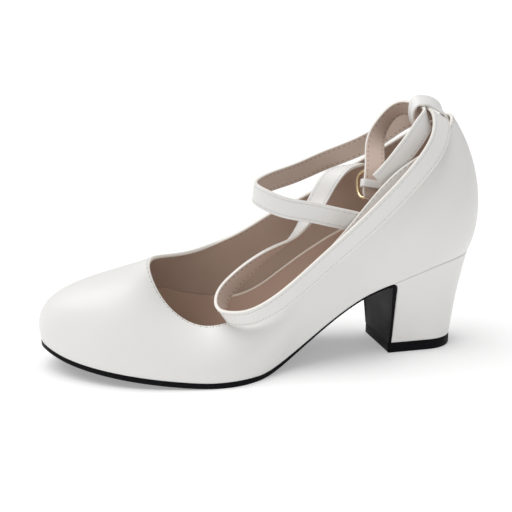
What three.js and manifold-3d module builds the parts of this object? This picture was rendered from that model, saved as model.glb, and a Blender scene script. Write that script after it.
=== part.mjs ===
// Ankle strap pump, left shoe, in millimetres, +Z up.
// +X runs from the toe to the heel, -Y is the outer side of the foot.
import * as THREE from 'three';
import Module from 'manifold-3d';

const manifold = await Module();
manifold.setup();
const { Manifold, Mesh } = manifold;

// Driving sizes
const length = 235;
const ball_width = 84;
const heel_height = 49.5;
const toe_spring = 12;
const collar_height = 74.5;
const wall = 1.8;
const seat_gap = 0.3;
const sole_thickness = 2.9;
const sole_overhang = 0.2;
const insole_thickness = 2.2;
const insole_play = 0.1;
const breast_from_toe = 179.1;
const breast_cover = 1.5;
const breast_curl = 2.6;
const heel_foot_width = 36;
const heel_foot_length = 40;
const top_lift_thickness = 5.6;
const strap_width = 10.4;
const strap_thickness = 1.6;
const loop_width = 8;
const loop_thickness = 1.5;
const loop_stand_off = 1.6;
const loop_end_step = 1.9;
const buckle_wire = 1.7;
const prong_wire = 1.3;
const keeper_width = 4;
const keeper_thickness = 1.1;
const keeper_play = 0.1;

// Shares
const heel_pinch = 0.1;
const heel_foot_corner = 2.3;
const heel_foot_bow = 1.02;
const breast_curl_start = 0.8;
const buckle_corner = 0.7;
const keeper_place = 0.937;

// Grid sizes
const around_steps = 104;
const wall_steps = 14;
const sole_steps = 40;
const heel_steps = 23;
const heel_levels = 6;
const cover_levels = 8;
const outline_steps = 480;
const buckle_steps = 32;
const strap_pitch = 4.2;
const wire_sides = 8;

// The tables below are written for this reference shoe and are scaled to the driving sizes.
const reference = { length: 235, ball: 84, collar: 74.5, sole: 2.9 };
const scale_x = length / reference.length;
const scale_y = ball_width / reference.ball;
const scale_rise = collar_height / reference.collar;
const scale_sole = sole_thickness / reference.sole;

// Sole curve: share of the length from the toe, share of heel height, share of toe spring, thickness
const sole_rows = [
  [0, 0, 1.05, 2.2],
  [0.035, 0, 0.76, 2.4],
  [0.08, 0, 0.545, 2.6],
  [0.13, 0, 0.4, 2.8],
  [0.19, 0, 0.25, 2.9],
  [0.265, 0, 0.09, 2.9],
  [0.34, 0, 0, 2.9],
  [0.405, 0, 0, 2.9],
  [0.445, 0.002, 0, 2.6],
  [0.49, 0.052, 0, 2.3],
  [0.54, 0.184, 0, 1.7],
  [0.615, 0.443, 0, 1.2],
  [0.7, 0.685, 0, 1.1],
  [0.765, 0.792, 0, 1.3],
  [0.85, 0.918, 0, 1.8],
  [0.93, 0.985, 0, 2],
  [1, 1, 0, 2],
];

// Upper: edge x, edge y, topline x, topline y, topline rise over the sole curve,
// swell (share of ball width), lift (share of rise), lean (share of ball width), drop (share of rise)
const upper_rows = {
  heel_back: [110, 0, 99.5, 0, 74.49, 0.12, 0.28, 0.2, 0.32],
  heel_corner_outer: [104, -15.5, 92.8, -12, 68.85, 0.1, 0.28, 0.12, 0.32],
  heel_side_outer: [85, -24.5, 79, -20, 63.38, 0.06, 0.3, 0.07, 0.3],
  quarter_outer: [60, -25, 60, -24.5, 59.35, 0.05, 0.33, 0.05, 0.3],
  waist_outer: [30, -25.5, 37, -27, 46.34, 0.05, 0.35, 0.04, 0.3],
  shank_outer: [2, -30, 12, -30, 39.69, 0.04, 0.4, 0.04, 0.3],
  ball_outer: [-24, -44, -15, -31.5, 32.93, 0.02, 0.42, 0.06, 0.2],
  forepart_outer: [-52, -42.5, -38, -29.5, 27.6, 0.015, 0.42, 0.08, 0.15],
  toe_side_outer: [-82, -32, -54.3, -20, 34, 0.02, 0.46, 0.2, 0.11],
  toe_corner_outer: [-106, -12, -61.2, -8.6, 45.99, 0.045, 0.52, 0.335, 0.08],
  toe: [-116, 8, -60.5, 3, 52.39, 0.1, 0.73, 0.32, 0.22],
  toe_corner_inner: [-107, 27, -53, 13, 53.01, 0.045, 0.62, 0.31, 0.28],
  forepart_inner: [-78, 38, -35, 21, 53, 0.02, 0.44, 0.19, 0.1],
  ball_inner: [-42, 38.5, -16, 25, 57.91, 0.02, 0.42, 0.08, 0.2],
  shank_inner: [-4, 29.5, 8, 27.5, 60.78, 0.05, 0.4, 0.06, 0.3],
  waist_inner: [30, 25.5, 33, 27.5, 54.43, 0.06, 0.35, 0.06, 0.3],
  quarter_inner: [60, 25, 58, 25, 58.08, 0.05, 0.33, 0.06, 0.3],
  heel_side_inner: [85, 24.5, 79, 19.8, 64.08, 0.06, 0.3, 0.07, 0.3],
  heel_corner_inner: [104, 15.5, 92.8, 12, 70.45, 0.1, 0.28, 0.12, 0.32],
};

// Straps: x, y, rise over the sole curve, then the direction across the strap
const cross_strap_rows = [
  [57, 17, 57.25, 0.1, -0.97, 0.2],
  [49, 16.8, 58.74, 0.3, -0.9, 0.1],
  [41.5, 15, 59.51, 0.6, -0.7, -0.15],
  [35, 12, 57.33, 0.75, -0.55, -0.3],
  [29.4, 8.8, 53.64, 0.65, -0.65, -0.25],
  [23, 5, 50.57, 0.35, -0.85, 0.1],
  [13.5, 0.5, 48.88, 0.2, -0.85, 0.45],
  [1.5, -4, 51.56, 0.1, -0.7, 0.75],
  [-12, -10.5, 49.72, 0, -0.35, 0.95],
  [-24, -18, 43.49, -0.05, -0.1, 1],
  [-31.2, -27, 37.3, -0.4, 0, 0.9],
  [-31, -34.3, 33.7, -0.6, -0.2, 0.8],
  [-24.5, -38.6, 32.78, -0.45, -0.45, 0.9],
  [-12.7, -39.2, 35.22, -0.35, -0.4, 1],
  [3, -37.2, 38.64, -0.45, -0.3, 1],
  [19.8, -35, 39.61, -0.5, -0.25, 1],
  [37, -34, 41.04, -0.55, -0.15, 1],
  [53.4, -32.5, 46.9, -0.55, 0, 1],
  [68, -29.5, 55.08, -0.65, 0, 1],
  [79.6, -25, 62.66, -0.85, 0.1, 0.85],
  [86.8, -17.4, 69.45, -0.85, 0.1, 0.62],
  [89.55, -8.6, 75.44, -0.86, 0.05, 0.5],
  [89.35, 1, 76.34, -0.75, 0.1, 0.65],
  [87.8, 11.6, 75.14, -0.45, 0, 0.9],
  [80.8, 21.3, 71.33, -0.15, 0.05, 1],
  [73, 28, 66.26, -0.15, 0.1, 1],
  [59.2, 31, 63.12, -0.15, 0.1, 1],
  [40.4, 29.5, 64.93, -0.1, 0.05, 1],
  [21, 21, 73.62, -0.05, 0, 1],
  [6, 12, 82.51, 0, -0.05, 1],
  [-3.5, 3, 86.43, 0.1, -0.05, 1],
  [-8, -6, 87.13, 0.1, -0.05, 1],
  [-6, -15.5, 85.22, 0.1, -0.05, 1],
  [2.6, -20.5, 78.05, 0.05, 0, 1],
  [16, -22, 66.19, 0.05, 0, 1],
  [29, -22.7, 53.26, 0.05, 0, 1],
  [39, -23.2, 44.17, 0.05, 0, 1],
  [48, -24.5, 36.92, 0.05, 0, 1],
];
const ankle_strap_rows = [
  [53.5, -19, 56.1, -0.35, 0, 0.95],
  [59.6, -19.3, 60.34, -0.7, 0, 0.7],
  [66.4, -18.6, 65.8, -0.75, 0, 0.65],
  [73.2, -16.6, 70.85, -0.75, 0, 0.65],
  [78.9, -13, 74.68, -0.65, 0, 0.75],
  [83.2, -7, 76.18, -0.35, -0.05, 0.9],
  [83.5, 0, 76.88, -0.25, -0.2, 0.93],
  [81.7, 7, 78.91, -0.25, -0.5, 0.82],
  [76.8, 12, 81.14, -0.35, -0.55, 0.78],
  [71.2, 14.5, 79.31, -0.55, -0.45, 0.7],
  [66.4, 13.8, 75.2, -0.8, -0.35, 0.5],
  [62.2, 10, 70.59, -0.95, -0.2, 0.22],
  [59.2, 4, 65.82, -1, -0.05, 0.05],
  [56.8, -3, 61.24, -1, 0, 0],
  [54.5, -8.5, 56.34, -1, 0, 0.05],
  [53, -11, 50.98, -1, 0, 0],
  [52.4, -12, 45.56, -1, 0, 0],
];
const heel_loop_rows = [
  [97.4, 0, 69.38, 0, 1, 0],
  [95.7, 0, 73.16, 0, 1, 0],
  [94.4, 0, 76.96, 0.1, 1, 0.25],
  [91.4, 0, 80.74, 0.25, 1, 0.45],
  [87.8, 0, 83.14, 0.15, 1, 0.52],
  [84.2, 0, 84.37, 0.05, 1, 0.52],
  [80.1, 0, 84.85, 0.05, 1, 0.55],
  [77.5, 0, 80.92, 0.1, 1, 0.25],
  [79.2, 0, 73.47, 0.1, 1, 0],
  [84.4, 0, 69.37, 0, 1, 0],
  [90.4, 0, 68.14, 0, 1, 0],
  [95, 0, 65.56, 0, 1, 0],
];
// Shares of the back wall height where the loop is sewn on, from the lowest stitch upwards
const loop_seat = [0.74, 0.8, 0.86];
const buckle = { x: 52.76, y: -1.84, rise: 51.98, long: 7.2, short: 5.2 };
const buckle_rows = { long: [0.1, 0.5, 0.86], short: [-0.632, 0.7, -0.333] };
const prong_row = [-1, -0.3, 0.4, 1.05];

const vector = (x, y, z) => new THREE.Vector3(x, y, z);

// Cubic spline through rows of numbers; periodic when closed
function spline(knots, rows, closed) {
  const n = rows.length;
  const width = rows[0].length;
  const slope = [];
  for (let c = 0; c < width; c += 1) {
    const size = closed ? n - 1 : n;
    const a = [];
    for (let i = 0; i < size; i += 1) {
      a.push(new Array(size + 1).fill(0));
      const before = closed ? (i + size - 1) % size : i - 1;
      const h0 = closed ? knots[before + 1] - knots[before] : knots[i] - knots[i - 1];
      const h1 = knots[i + 1] - knots[i];
      const d0 = closed ? rows[before + 1][c] - rows[before][c] : i > 0 ? rows[i][c] - rows[i - 1][c] : 0;
      const d1 = i + 1 < n ? rows[i + 1][c] - rows[i][c] : 0;
      if (!closed && (i === 0 || i === n - 1)) {
        a[i][i] = 2;
        a[i][i === 0 ? 1 : i - 1] = 1;
        a[i][size] = i === 0 ? (3 * d1) / h1 : (3 * d0) / h0;
      } else {
        a[i][before] += 1 / h0;
        a[i][i] += 2 / h0 + 2 / h1;
        a[i][(i + 1) % size] += 1 / h1;
        a[i][size] = (3 * d0) / (h0 * h0) + (3 * d1) / (h1 * h1);
      }
    }
    slope.push(solve(a));
    if (closed) slope[c].push(slope[c][0]);
  }
  return (t) => {
    let i = 0;
    while (i < n - 2 && t > knots[i + 1]) i += 1;
    const h = knots[i + 1] - knots[i];
    const s = (t - knots[i]) / h;
    const out = [];
    for (let c = 0; c < width; c += 1) {
      const p0 = rows[i][c];
      const p1 = rows[i + 1][c];
      const m0 = slope[c][i] * h;
      const m1 = slope[c][i + 1] * h;
      out.push(p0 + s * m0 + s * s * (3 * (p1 - p0) - 2 * m0 - m1) + s * s * s * (2 * (p0 - p1) + m0 + m1));
    }
    return out;
  };
}

function solve(a) {
  const n = a.length;
  for (let i = 0; i < n; i += 1) {
    for (let j = i + 1; j < n; j += 1) {
      const f = a[j][i] / a[i][i];
      if (f !== 0) for (let k = i; k <= n; k += 1) a[j][k] -= f * a[i][k];
    }
  }
  const x = new Array(n).fill(0);
  for (let i = n - 1; i >= 0; i -= 1) {
    let sum = a[i][n];
    for (let k = i + 1; k < n; k += 1) sum -= a[i][k] * x[k];
    x[i] = sum / a[i][i];
  }
  return x;
}

// Sole curve
const sole_spline = spline(sole_rows.map((row) => row[0]), sole_rows.map((row) => row.slice(1)), false);
function sole_at(x) {
  const share = Math.min(Math.max(x / length + 0.5, 0), 1);
  const [heel, toe, thickness] = sole_spline(share);
  return { bottom: Math.max(heel_height * heel + toe_spring * toe, 0), thickness: thickness * scale_sole };
}
const sole_bottom = (x) => sole_at(x).bottom;
const sole_top = (x) => sole_at(x).bottom + sole_at(x).thickness;
const place = (x, y, rise) => vector(x * scale_x, y * scale_y, sole_bottom(x * scale_x) + rise * scale_rise);

// Closed faceted solid
function solid(points, faces) {
  const mesh = new Mesh({
    numProp: 3,
    vertProperties: new Float32Array(points.flatMap((p) => [p.x, p.y, p.z])),
    triVerts: new Uint32Array(faces.flat()),
  });
  mesh.merge();
  return new Manifold(mesh);
}

const quad = (a, b, c, d) => [[a, b, c], [a, c, d]];

// Rings of equal size joined in order; both end rings are capped by strips between their halves
function ring_solid(rings) {
  const n = rings[0].length;
  const faces = [];
  for (let r = 0; r + 1 < rings.length; r += 1) {
    for (let i = 0; i < n; i += 1) {
      const j = (i + 1) % n;
      faces.push(...quad(r * n + i, r * n + j, (r + 1) * n + j, (r + 1) * n + i));
    }
  }
  const last = (rings.length - 1) * n;
  for (let i = 0; i < Math.floor(n / 2) - 1; i += 1) {
    const j = n - 1 - i;
    faces.push(...quad(j, j - 1, i + 1, i));
    faces.push(...quad(last + i, last + i + 1, last + j - 1, last + j));
  }
  return solid(rings.flat(), faces);
}

function outward(shape) {
  return shape.volume() < 0 ? shape.scale([1, 1, -1]).scale([1, 1, -1]) : shape;
}

// Upper wall
const upper_table = Object.values(upper_rows);
const edge_knots = [0];
upper_table.forEach((row, i) => {
  const next = upper_table[(i + 1) % upper_table.length];
  edge_knots.push(edge_knots[i] + Math.sqrt(Math.hypot(next[0] - row[0], next[1] - row[1])));
});
const edge_total = edge_knots[edge_knots.length - 1];
const upper_knots = edge_knots.map((k) => k / edge_total);
const upper_spline = spline(upper_knots, [...upper_table, upper_table[0]], true);

function edge_at(u) {
  const [x, y] = upper_spline(((u % 1) + 1) % 1);
  return [x * scale_x, y * scale_y];
}

function edge_normal(u) {
  const step = 0.0005;
  const [x0, y0] = edge_at(u - step);
  const [x1, y1] = edge_at(u + step);
  const size = Math.hypot(x1 - x0, y1 - y0);
  return [(y1 - y0) / -size, (x1 - x0) / size];
}

function wall_point(u, v) {
  const [ex, ey, tx, ty, rise, swell, lift, lean, drop] = upper_spline(((u % 1) + 1) % 1);
  const [nx, ny] = edge_normal(u);
  const top = place(tx, ty, rise);
  const edge = vector(ex * scale_x, ey * scale_y, sole_top(ex * scale_x) + seat_gap);
  const height = top.z - edge.z;
  const a = edge.clone().add(vector(nx * swell * ball_width, ny * swell * ball_width, lift * height));
  const b = top.clone().add(vector(nx * lean * ball_width, ny * lean * ball_width, -drop * height));
  return new THREE.CubicBezierCurve3(edge, a, b, top).getPoint(v);
}

function wall_normal(u, v) {
  const step = 0.002;
  const along = wall_point(u + step, v).sub(wall_point(u - step, v));
  const up = wall_point(u, Math.min(v + step, 1)).sub(wall_point(u, Math.max(v - step, 0)));
  return up.cross(along).normalize();
}

function inner_point(u, v) {
  const outer = wall_point(u, v);
  const normal = wall_normal(u, v);
  if (v === 0) normal.setZ(0).normalize();
  return outer.sub(normal.multiplyScalar(wall));
}

function upper_shape() {
  const points = [];
  const faces = [];
  const rows = wall_steps + 1;
  for (const make of [wall_point, inner_point]) {
    for (let j = 0; j < rows; j += 1) {
      for (let i = 0; i < around_steps; i += 1) points.push(make(i / around_steps, j / wall_steps));
    }
  }
  const inside = rows * around_steps;
  const at = (side, j, i) => side * inside + j * around_steps + (i % around_steps);
  for (let i = 0; i < around_steps; i += 1) {
    for (let j = 0; j < wall_steps; j += 1) {
      faces.push(...quad(at(0, j, i), at(0, j + 1, i), at(0, j + 1, i + 1), at(0, j, i + 1)));
      faces.push(...quad(at(1, j, i), at(1, j, i + 1), at(1, j + 1, i + 1), at(1, j + 1, i)));
    }
    faces.push(...quad(at(0, 0, i), at(0, 0, i + 1), at(1, 0, i + 1), at(1, 0, i)));
    faces.push(...quad(at(0, wall_steps, i), at(1, wall_steps, i), at(1, wall_steps, i + 1), at(0, wall_steps, i + 1)));
  }
  return solid(points, faces);
}

// Plan outline of a plate: y on both sides for any x, set in from the upper edge
function outline(inset) {
  const points = [];
  for (let i = 0; i <= outline_steps; i += 1) {
    const [x, y] = edge_at(i / outline_steps);
    const [nx, ny] = edge_normal(i / outline_steps);
    points.push([x - nx * inset, y - ny * inset]);
  }
  let tip = 0;
  points.forEach((p, i) => {
    if (p[0] < points[tip][0]) tip = i;
  });
  const outer = points.slice(0, tip + 1).reverse();
  const inner = points.slice(tip);
  const pick = (side, x) => {
    let i = 0;
    while (i < side.length - 2 && side[i + 1][0] < x) i += 1;
    const share = (x - side[i][0]) / (side[i + 1][0] - side[i][0] || 1);
    return side[i][1] + Math.min(Math.max(share, 0), 1) * (side[i + 1][1] - side[i][1]);
  };
  const start = points[tip][0];
  const end = points[0][0];
  return { start, end, outer: (x) => pick(outer, x), inner: (x) => pick(inner, x) };
}

// Curved plate between two heights over an outline
function plate(edge, stations, low, high) {
  const rings = stations.map((x) => [
    vector(x, edge.outer(x), low(x)),
    vector(x, edge.inner(x), low(x)),
    vector(x, edge.inner(x), high(x)),
    vector(x, edge.outer(x), high(x)),
  ]);
  return ring_solid(rings);
}

const breast_x = breast_from_toe - length / 2;
const sole_edge = outline(-sole_overhang);
const sole_stations = [];
for (let i = 0; i <= sole_steps; i += 1) {
  const turn = 1 - Math.cos((Math.PI / 2) * ((i + 0.6) / (sole_steps + 0.6)));
  sole_stations.push(sole_edge.start + (breast_x - sole_edge.start) * turn);
}

// Heel block: U-shaped rings from the seat down to the foot
function heel_ring(share, front) {
  const seat = outline(0);
  const half = heel_foot_width / 2;
  const foot_back = breast_x + heel_foot_length;
  const blend = share + heel_pinch * Math.sin(Math.PI * share);
  const ring = [];
  for (let i = 0; i <= heel_steps; i += 1) {
    const turn = (Math.PI * i) / heel_steps;
    const reach = Math.sin(turn);
    const top_x = front + (seat.end - front) * reach;
    const top_y = i * 2 < heel_steps ? seat.outer(top_x) : seat.inner(top_x);
    const straight = foot_back - half * heel_foot_bow;
    const foot_x = front + (foot_back - front) * reach;
    const bend = Math.max(foot_x - straight, 0) / (foot_back - straight);
    const foot_y = half * Math.sqrt(Math.max(1 - bend ** heel_foot_corner, 0)) * (i * 2 < heel_steps ? -1 : 1);
    const x = top_x + (foot_x - top_x) * blend;
    const y = top_y + (foot_y - top_y) * blend;
    ring.push([x, y, top_x]);
  }
  return ring;
}

function heel_block_shape() {
  const rings = [];
  const foot = top_lift_thickness + seat_gap;
  const front = breast_x + breast_cover + seat_gap;
  for (let level = heel_levels; level >= 0; level -= 1) {
    const share = level / heel_levels;
    rings.push(
      heel_ring(share, front).map(([x, y, top_x]) => {
        const top = sole_top(top_x);
        return vector(x, y, top + (foot - top) * share);
      }),
    );
  }
  return ring_solid(rings);
}

function top_lift_shape() {
  const ring = heel_ring(1, breast_x);
  return ring_solid([0, top_lift_thickness].map((z) => ring.map(([x, y]) => vector(x, y, z))));
}

function outsole_shape() {
  const sole = plate(sole_edge, sole_stations, sole_bottom, sole_top);
  const cover = [];
  const foot = top_lift_thickness + seat_gap;
  const half = heel_foot_width / 2;
  for (let i = 0; i <= cover_levels; i += 1) {
    const share = i / cover_levels;
    const blend = 1 - share + heel_pinch * Math.sin(Math.PI * share);
    const outer = sole_edge.outer(breast_x) * (1 - blend) - half * blend;
    const inner = sole_edge.inner(breast_x) * (1 - blend) + half * blend;
    const back = breast_x + breast_cover;
    const curl = breast_curl * Math.max(0, (share - breast_curl_start) / (1 - breast_curl_start)) ** 2;
    const front = breast_x - 0.01 - curl;
    const corner = (x, y) => vector(x, y, foot + (sole_top(x) - foot) * share);
    cover.push([corner(front, outer), corner(back, outer), corner(back, inner), corner(front, inner)]);
  }
  return Manifold.union(outward(sole), outward(ring_solid(cover)));
}

function insole_shape() {
  const edge = outline(wall + seat_gap + insole_play);
  const seat_start = breast_x + breast_cover + seat_gap;
  const stations = [edge.start + 0.3, ...sole_stations.filter((x) => x > edge.start + 0.8)];
  for (let i = 0; i * 2 < heel_steps; i += 1) {
    const turn = Math.sin((Math.PI * i) / heel_steps);
    stations.push(seat_start + (edge.end - 0.05 - seat_start) * turn);
  }
  const low = (x) => sole_top(x) + seat_gap;
  return plate(edge, stations, low, (x) => low(x) + insole_thickness);
}

// Flat ribbon swept through guide rows
function guide(rows) {
  const centres = rows.map(([x, y, rise]) => (rise === undefined ? x : place(x, y, rise)));
  const knots = [0];
  centres.forEach((p, i) => {
    if (i > 0) knots.push(knots[i - 1] + p.distanceTo(centres[i - 1]));
  });
  const total = knots[knots.length - 1];
  const across = rows.map((row) => (row[2] === undefined ? row[1] : vector(row[3], row[4], row[5])).clone().normalize());
  const path = spline(knots, centres.map((p, i) => [p.x, p.y, p.z, across[i].x, across[i].y, across[i].z]), false);
  return (share) => {
    const t = share * total;
    const now = path(t);
    const before = path(Math.max(t - 0.1, 0));
    const after = path(Math.min(t + 0.1, total));
    const centre = vector(...now.slice(0, 3));
    const tangent = vector(...after.slice(0, 3)).sub(vector(...before.slice(0, 3))).normalize();
    const side = vector(...now.slice(3));
    side.sub(tangent.clone().multiplyScalar(side.dot(tangent))).normalize();
    const face = tangent.clone().cross(side);
    return { centre, tangent, side, face, total };
  };
}

function ribbon(rows, width, thickness) {
  const at = guide(rows);
  const count = Math.ceil(at(0).total / strap_pitch);
  const rings = [];
  for (let i = 0; i <= count; i += 1) {
    const { centre, side, face } = at(i / count);
    const corner = (a, b) => centre.clone().add(side.clone().multiplyScalar(a)).add(face.clone().multiplyScalar(b));
    rings.push([
      corner(-width / 2, -thickness / 2),
      corner(width / 2, -thickness / 2),
      corner(width / 2, thickness / 2),
      corner(-width / 2, thickness / 2),
    ]);
  }
  return ring_solid(rings);
}

// Both ends of the heel loop lie inside the back seam, one over the other
function heel_loop_shape() {
  const across = vector(0, 1, 0);
  const first = seat_gap + loop_thickness / 2 + loop_stand_off;
  const leg = (depth) =>
    loop_seat.map((v) => [inner_point(0, v).sub(wall_normal(0, v).multiplyScalar(depth)), across]);
  const rows = [...leg(first), ...heel_loop_rows, ...leg(first + loop_end_step).reverse()];
  return ribbon(rows, loop_width, loop_thickness);
}

// Round wire along points; closed or with flat ends
function wire(points, radius, closed) {
  const n = points.length;
  const rings = points.map((p, i) => {
    const before = closed ? points[(i + n - 1) % n] : points[Math.max(i - 1, 0)];
    const after = closed ? points[(i + 1) % n] : points[Math.min(i + 1, n - 1)];
    const tangent = after.clone().sub(before).normalize();
    const side = vector(1, 0.1, 0);
    side.sub(tangent.clone().multiplyScalar(side.dot(tangent))).normalize();
    const face = tangent.clone().cross(side);
    const ring = [];
    for (let k = 0; k < wire_sides; k += 1) {
      const turn = (2 * Math.PI * k) / wire_sides;
      ring.push(
        p.clone().add(side.clone().multiplyScalar(Math.cos(turn) * radius)).add(face.clone().multiplyScalar(Math.sin(turn) * radius)),
      );
    }
    return ring;
  });
  if (!closed) return ring_solid(rings);
  const faces = [];
  for (let r = 0; r < n; r += 1) {
    for (let i = 0; i < wire_sides; i += 1) {
      const j = (i + 1) % wire_sides;
      const next = (r + 1) % n;
      faces.push(...quad(r * wire_sides + i, r * wire_sides + j, next * wire_sides + j, next * wire_sides + i));
    }
  }
  return solid(rings.flat(), faces);
}

const buckle_centre = place(buckle.x, buckle.y, buckle.rise);
const buckle_long = vector(...buckle_rows.long).normalize();
const buckle_short = vector(...buckle_rows.short).normalize();

function buckle_frame_shape() {
  const points = [];
  for (let i = 0; i < buckle_steps; i += 1) {
    const turn = (2 * Math.PI * i) / buckle_steps;
    const c = Math.cos(turn);
    const s = Math.sin(turn);
    const a = Math.sign(c) * Math.abs(c) ** buckle_corner * buckle.long;
    const b = Math.sign(s) * Math.abs(s) ** buckle_corner * buckle.short;
    points.push(buckle_centre.clone().add(buckle_long.clone().multiplyScalar(a)).add(buckle_short.clone().multiplyScalar(b)));
  }
  return wire(points, buckle_wire / 2, true);
}

// The prong lies on the side of the frame away from the strap
function buckle_prong_shape() {
  const lift = buckle_wire / 2 + prong_wire / 2 + seat_gap;
  const face = buckle_short.clone().cross(buckle_long);
  const points = prong_row.map((share) =>
    buckle_centre
      .clone()
      .add(buckle_short.clone().multiplyScalar(share * buckle.short))
      .add(face.clone().multiplyScalar(lift)),
  );
  return wire(points, prong_wire / 2, false);
}

// Leather keeper: a flat band closed round the hanging end of the ankle strap, beside the buckle
function keeper_shape() {
  const at = guide(ankle_strap_rows);
  const { centre, tangent, side, face } = at(keeper_place);
  const block = (width, thick, long) => {
    const rings = [-long / 2, long / 2].map((t) =>
      [[-1, -1], [1, -1], [1, 1], [-1, 1]].map(([a, b]) =>
        centre
          .clone()
          .add(tangent.clone().multiplyScalar(t))
          .add(side.clone().multiplyScalar((a * width) / 2))
          .add(face.clone().multiplyScalar((b * thick) / 2)),
      ),
    );
    return outward(ring_solid(rings));
  };
  const hollow_width = strap_width + 2 * (seat_gap + keeper_play);
  const hollow_thick = strap_thickness + 2 * (seat_gap + keeper_play);
  const outer = block(hollow_width + 2 * keeper_thickness, hollow_thick + 2 * keeper_thickness, keeper_width);
  return outer.subtract(block(hollow_width, hollow_thick, keeper_width * 2));
}

const colours = {
  leather: 0xe8e6e3,
  lining: 0xa58878,
  sole: 0x26262a,
  gold: 0xd9bf8c,
};

function mesh_of(name, shape, colour, roughness, metalness) {
  const data = shape.getMesh();
  const geometry = new THREE.BufferGeometry();
  geometry.setAttribute('position', new THREE.Float32BufferAttribute(Array.from(data.vertProperties), 3));
  geometry.setIndex(Array.from(data.triVerts));
  geometry.computeVertexNormals();
  const material = new THREE.MeshStandardMaterial({ color: colour, roughness, metalness });
  const mesh = new THREE.Mesh(geometry, material);
  mesh.name = name;
  return mesh;
}

const group = new THREE.Group();
group.name = 'ankle_strap_pump';
const add = (name, shape, colour, roughness = 0.6, metalness = 0) => {
  group.add(mesh_of(name, shape, colours[colour], roughness, metalness));
};
add('outsole', outsole_shape(), 'sole', 0.7);
add('heel_block', heel_block_shape(), 'leather');
add('top_lift', top_lift_shape(), 'sole', 0.7);
add('insole', insole_shape(), 'lining');
add('upper', upper_shape(), 'leather');
add('cross_strap', ribbon(cross_strap_rows, strap_width, strap_thickness), 'leather');
add('ankle_strap', ribbon(ankle_strap_rows, strap_width, strap_thickness), 'leather');
add('heel_loop', heel_loop_shape(), 'leather');
add('keeper_loop', keeper_shape(), 'leather');
add('buckle_frame', buckle_frame_shape(), 'gold', 0.3, 1);
add('buckle_prong', buckle_prong_shape(), 'gold', 0.3, 1);

// The origin is the middle of the footprint, on the floor
const extent = new THREE.Box3().setFromObject(group);
group.children.forEach((mesh) => {
  mesh.geometry.translate((extent.min.x + extent.max.x) / -2, (extent.min.y + extent.max.y) / -2, -extent.min.z);
});

export default group;
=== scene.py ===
import math

import bpy
import numpy as np
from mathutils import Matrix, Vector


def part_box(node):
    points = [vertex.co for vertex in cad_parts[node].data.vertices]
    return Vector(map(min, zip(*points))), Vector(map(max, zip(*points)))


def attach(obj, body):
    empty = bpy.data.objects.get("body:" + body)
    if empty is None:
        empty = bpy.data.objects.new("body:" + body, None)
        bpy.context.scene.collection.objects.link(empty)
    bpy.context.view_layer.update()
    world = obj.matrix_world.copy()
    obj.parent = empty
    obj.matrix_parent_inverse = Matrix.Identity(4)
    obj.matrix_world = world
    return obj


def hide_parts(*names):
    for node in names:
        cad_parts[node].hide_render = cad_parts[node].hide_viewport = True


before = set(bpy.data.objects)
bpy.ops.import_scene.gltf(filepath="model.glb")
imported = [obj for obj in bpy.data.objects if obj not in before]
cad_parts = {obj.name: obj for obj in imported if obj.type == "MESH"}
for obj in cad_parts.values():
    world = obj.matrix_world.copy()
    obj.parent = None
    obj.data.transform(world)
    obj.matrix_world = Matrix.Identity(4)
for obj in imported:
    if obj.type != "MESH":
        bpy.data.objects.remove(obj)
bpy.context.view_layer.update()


# Upper
# One skin of smooth white leather, lasted round the foot and joined at the back seam.
# Its top edge is folded over and sewn down, and its lower edge is glued under to the sole.
MM = 0.001
length, ball_width, heel_height, toe_spring = 235, 84, 49.5, 12
wall, leather_skin = 1.8, 1.1
seat_gap, seam_gap = 0.3, 0.02
breast_from_toe = 179.1
breast_x = breast_from_toe - length / 2

# Share of the length from the toe, share of heel height, share of toe spring, thickness
sole_rows = [
    [0, 0, 1.05, 2.2],
    [0.035, 0, 0.76, 2.4],
    [0.08, 0, 0.545, 2.6],
    [0.13, 0, 0.4, 2.8],
    [0.19, 0, 0.25, 2.9],
    [0.265, 0, 0.09, 2.9],
    [0.34, 0, 0, 2.9],
    [0.405, 0, 0, 2.9],
    [0.445, 0.002, 0, 2.6],
    [0.49, 0.052, 0, 2.3],
    [0.54, 0.184, 0, 1.7],
    [0.615, 0.443, 0, 1.2],
    [0.7, 0.685, 0, 1.1],
    [0.765, 0.792, 0, 1.3],
    [0.85, 0.918, 0, 1.8],
    [0.93, 0.985, 0, 2],
    [1, 1, 0, 2],
]
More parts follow.
